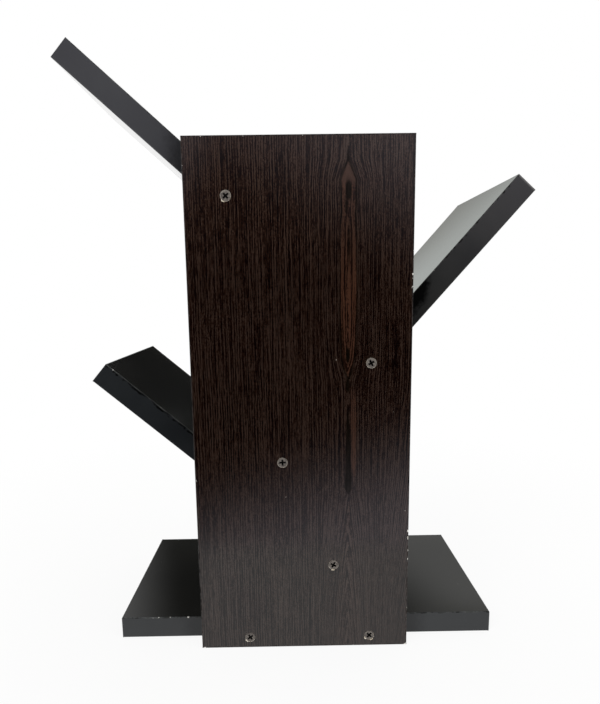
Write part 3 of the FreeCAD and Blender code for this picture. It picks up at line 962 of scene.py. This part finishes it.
@dataclass(frozen=True)
class ScrewPlace:
    """Where a screw sits: the middle of its head, the way it points, and the way its recess is turned."""

    head: Vector
    axis: Vector
    wing: Vector
    length_mm: float
    head_radius_mm: float

    @classmethod
    def of(cls, points: np.ndarray) -> "ScrewPlace":
        """Reads a screw's place from the corners of its solid.

        Args:
            points: the corners, one row each.

        Returns:
            The screw's place.
        """
        centre = points.mean(0)
        axis = np.linalg.svd(points - centre, full_matrices=False)[2][0]
        along = (points - centre) @ axis
        radius = np.linalg.norm(points - centre - np.outer(along, axis), axis=1)
        if along[radius.argmax()] > 0:
            axis, along = -axis, -along
        rim = points[radius > RIM_SHARE * radius.max()].mean(0)
        tip = points[along > along.max() - FLAT_MM * MM].mean(0)
        axis = (tip - rim) / np.linalg.norm(tip - rim)
        along = (points - rim) @ axis
        out = points - rim - np.outer(along, axis)
        radius = np.linalg.norm(out, axis=1)
        on_top = along < along.min() + FLAT_MM * MM
        wings = out[on_top & (radius < RECESS_SHARE * radius.max())]
        first = wings[0] / np.linalg.norm(wings[0])
        second = np.cross(axis, first)
        angle = np.arctan2(wings @ second, wings @ first)
        # four times a wing's angle comes out the same for each, because they are evenly spread
        turn = np.angle(np.exp(1j * RECESS_WINGS * angle).mean()) / RECESS_WINGS
        wing = math.cos(turn) * first + math.sin(turn) * second
        head = rim + axis * along.min()
        length = (along.max() - along.min()) * PER_METRE
        return cls(Vector(head), Vector(axis), Vector(wing), length, radius.max() * PER_METRE)

    def matrix(self) -> Matrix:
        """Finds the way from a screw drawn in millimetres, tip down, to its place.

        Returns:
            The turn, the shift and the change to metres.
        """
        up = -self.axis
        third = up.cross(self.wing)
        turn = Matrix((self.wing, third, up)).transposed().to_4x4()
        return Matrix.Translation(self.head) @ turn @ Matrix.Scale(MM, 4)


@dataclass
class WoodScrew:
    """A countersunk wood screw with a cross recess, drawn in millimetres with its head up."""

    length_mm: float
    head_radius_mm: float
    shank_radius_mm: float = 1.95
    root_radius_mm: float = 1.35
    land_mm: float = 0.3
    smooth_mm: float = 9.0
    neck_mm: float = 0.4
    tip_mm: float = 5.0
    tip_share: float = 0.08
    rim_mm: float = 0.15
    rim_steps: int = 3
    sides: int = 40
    pitch_mm: float = 1.8
    ridge_share: float = 0.35
    ridge_in_mm: float = 0.15
    turn_steps: int = 20
    recess_mm: float = 5.6
    recess_depth_mm: float = 2.4
    recess_margin_mm: float = 0.1
    recess_taper: float = 0.6
    wing_mm: float = 1.65
    driver_above_mm: float = 0.5
    smooth_deg: float = 35.0

    @property
    def cone_mm(self) -> float:
        """Gives the height of the head's cone, which is as high as it is wide."""
        return self.head_radius_mm - self.shank_radius_mm

    def build(self) -> bpy.types.Object:
        """Models the screw.

        Returns:
            The screw, at the origin.
        """
        screw = self.turned_body()
        for tool, operation in ((self.thread(), "UNION"), (self.driver(), "DIFFERENCE")):
            apply_modifier(screw, "BOOLEAN", operation=operation, object=tool, solver="EXACT")
            bpy.data.objects.remove(tool)
        sink = screw.data.attributes.new(SINK, "FLOAT", "POINT")
        reach = self.recess_mm / 2 + self.recess_margin_mm
        lowest = -self.recess_depth_mm - self.recess_margin_mm
        for depth, vertex in zip(sink.data, screw.data.vertices):
            x, y, z = vertex.co
            depth.value = -z if math.hypot(x, y) < reach and z > lowest else 0.0
        start_alone()
        screw.select_set(True)
        bpy.context.view_layer.objects.active = screw
        bpy.ops.object.shade_smooth_by_angle(angle=math.radians(self.smooth_deg))
        return screw

    def turned_body(self) -> bpy.types.Object:
        """Draws the head, the shank and the tip down from a disc.

        Returns:
            The body without its thread.
        """
        start_alone()
        bpy.ops.mesh.primitive_circle_add(vertices=self.sides, radius=self.head_radius_mm, fill_type="NGON")
        body = bpy.context.object
        core = self.length_mm - self.land_mm - self.cone_mm - self.smooth_mm - self.tip_mm
        bpy.ops.object.mode_set(mode="EDIT")
        bpy.ops.mesh.select_all(action="SELECT")
        extrude_down(self.land_mm)
        extrude_down(self.cone_mm, self.shank_radius_mm / self.head_radius_mm)
        extrude_down(self.smooth_mm)
        extrude_down(self.neck_mm, self.root_radius_mm / self.shank_radius_mm)
        extrude_down(core - self.neck_mm)
        extrude_down(self.tip_mm, self.tip_share)
        face_outwards()
        select_vertices(lambda co: co.z > -SAME_MM)
        bpy.ops.mesh.bevel(offset=self.rim_mm, segments=self.rim_steps)
        bpy.ops.object.mode_set(mode="OBJECT")
        return body

    def thread(self) -> bpy.types.Object:
        """Winds the thread's ridge round the shank.

        Returns:
            The ridge.
        """
        start_alone()
        middle = (self.root_radius_mm + self.shank_radius_mm) / 2
        start = -(self.land_mm + self.cone_mm + self.smooth_mm + self.pitch_mm)
        end = -(self.length_mm - self.tip_mm)
        bpy.ops.mesh.primitive_circle_add(vertices=3, radius=1.0, location=(middle, 0, start))
        ridge = bpy.context.object
        high, low = self.shank_radius_mm - middle, self.root_radius_mm - self.ridge_in_mm - middle
        half = self.ridge_share * self.pitch_mm
        for vertex, corner in zip(ridge.data.vertices, ((high, 0, 0), (low, 0, -half), (low, 0, half))):
            vertex.co = corner
        bpy.ops.object.transform_apply(location=True, rotation=True, scale=True)
        turns = int((start - end) / self.pitch_mm)
        apply_modifier(ridge, "SCREW", axis="Z", screw_offset=-self.pitch_mm, iterations=turns,
                       steps=self.turn_steps, render_steps=self.turn_steps, use_merge_vertices=False)
        bpy.ops.object.mode_set(mode="EDIT")
        bpy.ops.mesh.select_all(action="SELECT")
        bpy.ops.mesh.fill_holes(sides=4)
        face_outwards()
        bpy.ops.object.mode_set(mode="OBJECT")
        return ridge

    def driver(self) -> bpy.types.Object:
        """Draws the cross that the recess is struck with.

        Returns:
            The cross.
        """
        start_alone()
        tall = self.recess_depth_mm + self.driver_above_mm
        bpy.ops.mesh.primitive_cube_add(size=1.0, location=(0, 0, self.driver_above_mm - tall / 2),
                                        scale=(self.wing_mm, self.wing_mm, tall))
        cross = bpy.context.object
        bpy.ops.object.transform_apply(location=True, rotation=True, scale=True)
        bpy.ops.object.mode_set(mode="EDIT")
        half, reach = self.wing_mm / 2, (self.recess_mm - self.wing_mm) / 2
        for x, y in ((1, 0), (-1, 0), (0, 1), (0, -1)):
            select_vertices(lambda co: co.x * x + co.y * y > half - SAME_MM
                            and abs(co.x * y + co.y * x) < half + SAME_MM)
            bpy.ops.mesh.extrude_region_move(TRANSFORM_OT_translate={"value": (x * reach, y * reach, 0)})
        select_vertices(lambda co: co.z < -self.recess_depth_mm + SAME_MM)
        narrow(self.recess_taper)
        face_outwards()
        bpy.ops.object.mode_set(mode="OBJECT")
        return cross


@dataclass
class ScrewSet:
    """All the bookcase's wood screws, modelled once and copied to each place that a solid holds."""

    nodes: tuple[str, ...] = ("base_screws", "left_shelf_screws", "right_shelf_screws", "right_seat_screws",
                              "upper_left_seat_screws")
    finish: ZincScrew = ZincScrew()
    weld_mm: float = 0.001

    def places(self, node: str) -> list[ScrewPlace]:
        """Finds each screw of a node.

        Args:
            node: name of the screws' node.

        Returns:
            One place for each screw.
        """
        start_alone()
        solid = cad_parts[node]
        loose = bpy.data.objects.new("loose_screws", solid.data.copy())
        bpy.context.scene.collection.objects.link(loose)
        loose.select_set(True)
        bpy.context.view_layer.objects.active = loose
        bpy.ops.object.mode_set(mode="EDIT")
        bpy.ops.mesh.select_all(action="SELECT")
        bpy.ops.mesh.remove_doubles(threshold=self.weld_mm * MM)
        bpy.ops.mesh.separate(type="LOOSE")
        bpy.ops.object.mode_set(mode="OBJECT")
        found = []
        for part in list(bpy.context.selected_objects):
            found.append(ScrewPlace.of(np.array([v.co for v in part.data.vertices], float)))
            bpy.data.objects.remove(part)
        return found

    def build(self) -> None:
        """Models the screw, and puts its copies in place of the solids."""
        material = self.finish.material()
        places = {node: self.places(node) for node in self.nodes}
        first = places[self.nodes[0]][0]
        pattern = WoodScrew(first.length_mm, first.head_radius_mm).build()
        for node in self.nodes:
            start_alone()
            for place in places[node]:
                copy = bpy.data.objects.new(f"{node}_threaded", pattern.data.copy())
                bpy.context.scene.collection.objects.link(copy)
                copy.data.transform(place.matrix())
                copy.select_set(True)
                bpy.context.view_layer.objects.active = copy
            bpy.ops.object.join()
            piece = bpy.context.view_layer.objects.active
            piece.name = piece.data.name = f"{node}_threaded"
            piece.data.materials.clear()
            piece.data.materials.append(material)
            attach(piece, BODY)
            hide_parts(node)
            LOG.info("modelled %s: %d screws", piece.name, len(places[node]))
        bpy.data.objects.remove(pattern)


@dataclass(frozen=True)
class Fade:
    """A soft edge across a card: through a point, paler in one direction."""

    x_mm: float
    z_mm: float
    angle_deg: float
    half_mm: float

    def share(self, paint: Paint) -> Socket:
        """Draws the edge.

        Args:
            paint: the card's finish in hand.

        Returns:
            A value from zero before the edge to one beyond it.
        """
        turn = math.radians(self.angle_deg)
        way = (math.cos(turn), 0.0, math.sin(turn))
        start = self.x_mm * way[0] + self.z_mm * way[2]
        along = paint.add("VectorMath.DOT_PRODUCT", (paint.place, way), "Value")
        return paint.add("MapRange", (along, start - self.half_mm, start + self.half_mm),
                         interpolation_type="SMOOTHSTEP")


@dataclass(frozen=True)
class Flag:
    """A card that only shows in reflections, as a studio hangs one to shape a gloss. Its soft edges turn to
    another tone, or let what is behind it through."""

    name: str
    x_mm: tuple[float, float]
    y_mm: float
    z_mm: tuple[float, float]
    tone: str = "#050505"
    pale: str | None = WHITE
    fades: tuple[Fade, ...] = ()

    def build(self) -> None:
        """Hangs the card."""
        (left, right), (low, high) = self.x_mm, self.z_mm
        middle = ((left + right) / 2 * MM, self.y_mm * MM, (low + high) / 2 * MM)
        start_alone()
        bpy.ops.mesh.primitive_plane_add(size=1.0, rotation=(math.pi / 2, 0, 0), location=middle)
        card = bpy.context.object
        card.name = self.name
        card.scale = ((right - left) * MM, (high - low) * MM, 1)
        bpy.ops.object.transform_apply(location=True, rotation=True, scale=True)
        card.visible_camera = card.visible_diffuse = card.visible_shadow = card.visible_transmission = False
        paint = Paint.named(self.name)
        pale = 0.0
        for fade in self.fades:
            pale = paint.add("Math.MAXIMUM", (fade.share(paint), pale))
        near = paint.add("Emission", (self.tone, 1.0))
        beyond = paint.add("Emission", (self.pale, 1.0)) if self.pale else paint.add("BsdfTransparent")
        paint.add("OutputMaterial", (paint.add("MixShader", (pale, near, beyond)),))
        card.data.materials.append(paint.owner)


@dataclass(frozen=True)
class Softbox:
    """A soft round lamp, aimed at a point."""

    name: str
    place: tuple[float, float, float]
    size_m: float
    watts: float
    aim: tuple[float, float, float] = (0.0, 0.0, 0.2)

    def build(self) -> None:
        """Hangs the lamp."""
        light = bpy.data.lights.new(self.name, "AREA")
        light.shape = "DISK"
        light.size = self.size_m
        light.energy = self.watts
        lamp = bpy.data.objects.new(self.name, light)
        lamp.location = self.place
        lamp.rotation_euler = (Vector(self.aim) - Vector(self.place)).to_track_quat("-Z", "Y").to_euler()
        lamp.visible_glossy = False
        bpy.context.scene.collection.objects.link(lamp)


@dataclass
class Studio:
    """A white sweep with soft lamps, and dark and pale cards beyond the camera and behind the shelves."""

    floor_m: float = 8.0
    floor_drop_mm: float = 0.2
    world_level: float = 0.5
    floor_tone: str = "#e4e4e2"
    floor_glow: float = 0.9
    fade_m: tuple[float, float] = (0.25, 0.7)
    lamps: tuple[Softbox, ...] = (
        Softbox("key_softbox", (-1.1, -1.6, 1.7), 1.4, 26.0),
        Softbox("fill_softbox", (1.5, -1.2, 1.2), 1.4, 14.0),
        Softbox("top_softbox", (0.2, 0.5, 2.0), 1.6, 16.0))
    flags: tuple[Flag, ...] = (
        Flag("front_flag", (-450.0, 450.0), -300.0, (0.0, 700.0), pale="#fbf5ff", fades=(
            Fade(-12.0, 476.0, 65.0, 105.0), Fade(-118.0, 450.0, 140.0, 50.0), Fade(0.0, 53.0, -73.3, 80.0))),
        Flag("rear_left_flag", (-500.0, 25.0), 500.0, (20.0, 470.0), "#202020", fades=(
            Fade(-325.0, 0.0, 180.0, 100.0),)),
        Flag("rear_middle_flag", (25.0, 90.0), 500.0, (20.0, 352.0), "#141414", "#b4b4b2", fades=(
            Fade(75.0, 0.0, 0.0, 20.0),)),
        Flag("rear_right_card", (90.0, 700.0), 500.0, (20.0, 350.0), "#b4b4b2", "#d0d0ce", fades=(
            Fade(0.0, 285.0, 90.0, 85.0),)),
        Flag("rear_corner_flag", (130.0, 360.0), 495.0, (200.0, 400.0), "#151515", None, fades=(
            Fade(150.0, 0.0, 180.0, 20.0), Fade(212.0, 307.0, -47.0, 65.0), Fade(0.0, 378.0, 90.0, 16.0))),
        Flag("rear_upper_card", (25.0, 500.0), 500.0, (350.0, 640.0), "#a6a6a1", "#f8fefa", fades=(
            Fade(98.5, 395.4, 144.7, 35.0),)))

    def seen_white(self, paint: Paint) -> Socket:
        """Tells the rays that see the background from those that only light.

        Args:
            paint: the finish or light in hand.

        Returns:
            One for camera, glossy and transmission rays.
        """
        camera = paint.add("LightPath")
        rays = camera.node.outputs
        some = paint.add("Math.MAXIMUM", (camera, rays["Is Glossy Ray"]))
        return paint.add("Math.MAXIMUM", (some, rays["Is Transmission Ray"]))

    def build(self) -> None:
        """Sets the floor, the world, the lamps and the cards."""
        scene = bpy.context.scene
        scene.view_settings.view_transform = "Standard"
        self.lay_floor()
        scene.world = bpy.data.worlds.new("white_room")
        paint = Paint(scene.world)
        seen = paint.add("Background", (WHITE, 1.0))
        lit = paint.add("Background", (WHITE, self.world_level))
        paint.add("OutputWorld", (paint.add("MixShader", (self.seen_white(paint), lit, seen)),))
        for thing in (*self.lamps, *self.flags):
            thing.build()
            LOG.info("set up %s", thing.name)

    def lay_floor(self) -> None:
        """Lays the pale floor under the object."""
        start_alone()
        bpy.ops.mesh.primitive_plane_add(size=self.floor_m, location=(0, 0, -self.floor_drop_mm * MM))
        floor = bpy.context.object
        floor.name = "pale_floor"
        paint = Paint.named("pale_paper_sweep")
        paper = paint.add("BsdfDiffuse", (self.floor_tone,))
        glow = paint.add("Emission", (WHITE, 1.0))
        away = paint.add("VectorMath.LENGTH", (paint.add("TexCoord", out="Object"),), "Value")
        far = paint.add("MapRange", (away, *self.fade_m, self.floor_glow))
        share = paint.add("Math.MULTIPLY", (self.seen_white(paint), far))
        paint.add("OutputMaterial", (paint.add("MixShader", (share, paper, glow)),))
        floor.data.materials.append(paint.owner)


@dataclass(frozen=True)
class PhotoCamera:
    """A hand-held camera in front of the trunk, turned a little and tipped down."""

    name: str = "photo_camera"
    place: tuple[float, float, float] = (-0.01077, -0.55098, 0.29402)
    pitch_deg: float = 9.623
    yaw_deg: float = 0.439
    roll_deg: float = -0.799
    lens_mm: float = 29.89
    sensor_mm: float = 36.0
    shift: tuple[float, float] = (0.00748, 0.0570)
    clip_m: float = 0.01

    def build(self) -> None:
        """Sets the camera up and makes it the scene's own."""
        data = bpy.data.cameras.new(self.name)
        data.lens = self.lens_mm
        data.sensor_width = self.sensor_mm
        data.shift_x, data.shift_y = self.shift
        data.clip_start = self.clip_m
        camera = bpy.data.objects.new(self.name, data)
        turn = Matrix.Rotation(-math.radians(self.yaw_deg), 4, "Z")
        tip = Matrix.Rotation(math.radians(90 - self.pitch_deg), 4, "X")
        roll = Matrix.Rotation(math.radians(self.roll_deg), 4, "Z")
        camera.matrix_world = Matrix.Translation(self.place) @ turn @ tip @ roll
        bpy.context.scene.collection.objects.link(camera)
        bpy.context.scene.camera = camera


OPEN_SIDES = ("front", "rear", "outer")
# the bands' painted shade beside the trunk is strongest on the right board and left out on the lower left one
BOARDS = (
    Board("base", "base_board", (*OPEN_SIDES, "inner"), EdgeBand(
        BandTone.BLACK, (Knock(-102.5, 18.0, 0.9, 0.5), Knock(-118.0, 18.0, 0.4, 0.5),
                         Knock(-128.0, 18.0, 0.4, 0.5)), nick_mm=1.0)),
    Board("lower_left", "lower_left_shelf", (*OPEN_SIDES, "inner"), EdgeBand(
        BandTone.BLACK, nick_mm=2.6, nick_from=0.36, trunk_shade=0.0)),
    Board("right", "right_shelf", OPEN_SIDES, EdgeBand(
        BandTone.CHARCOAL, nick_mm=1.6, trunk_shade=1.0, trunk_shade_mm=13.0, trunk_shade_from_mm=0.5, trunk_shade_soft_mm=5.0,
        end_tone="#4b4a49")),
    Board("upper_left", "upper_left_shelf", OPEN_SIDES, EdgeBand(
        BandTone.BLACK, chip_share=0.8, trunk_shade=0.6, trunk_shade_mm=5.0)))


def main() -> None:
    """Builds the bookcase's looks in order, then its room and camera."""
    logging.basicConfig(level=logging.INFO, format="%(name)s: %(message)s")
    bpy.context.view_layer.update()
    for assembly in (Trunk(), *BOARDS, ScrewSet(), Studio(), PhotoCamera()):
        assembly.build()
        LOG.info("finished %s", type(assembly).__name__)


if __name__ == "__main__":
    main()
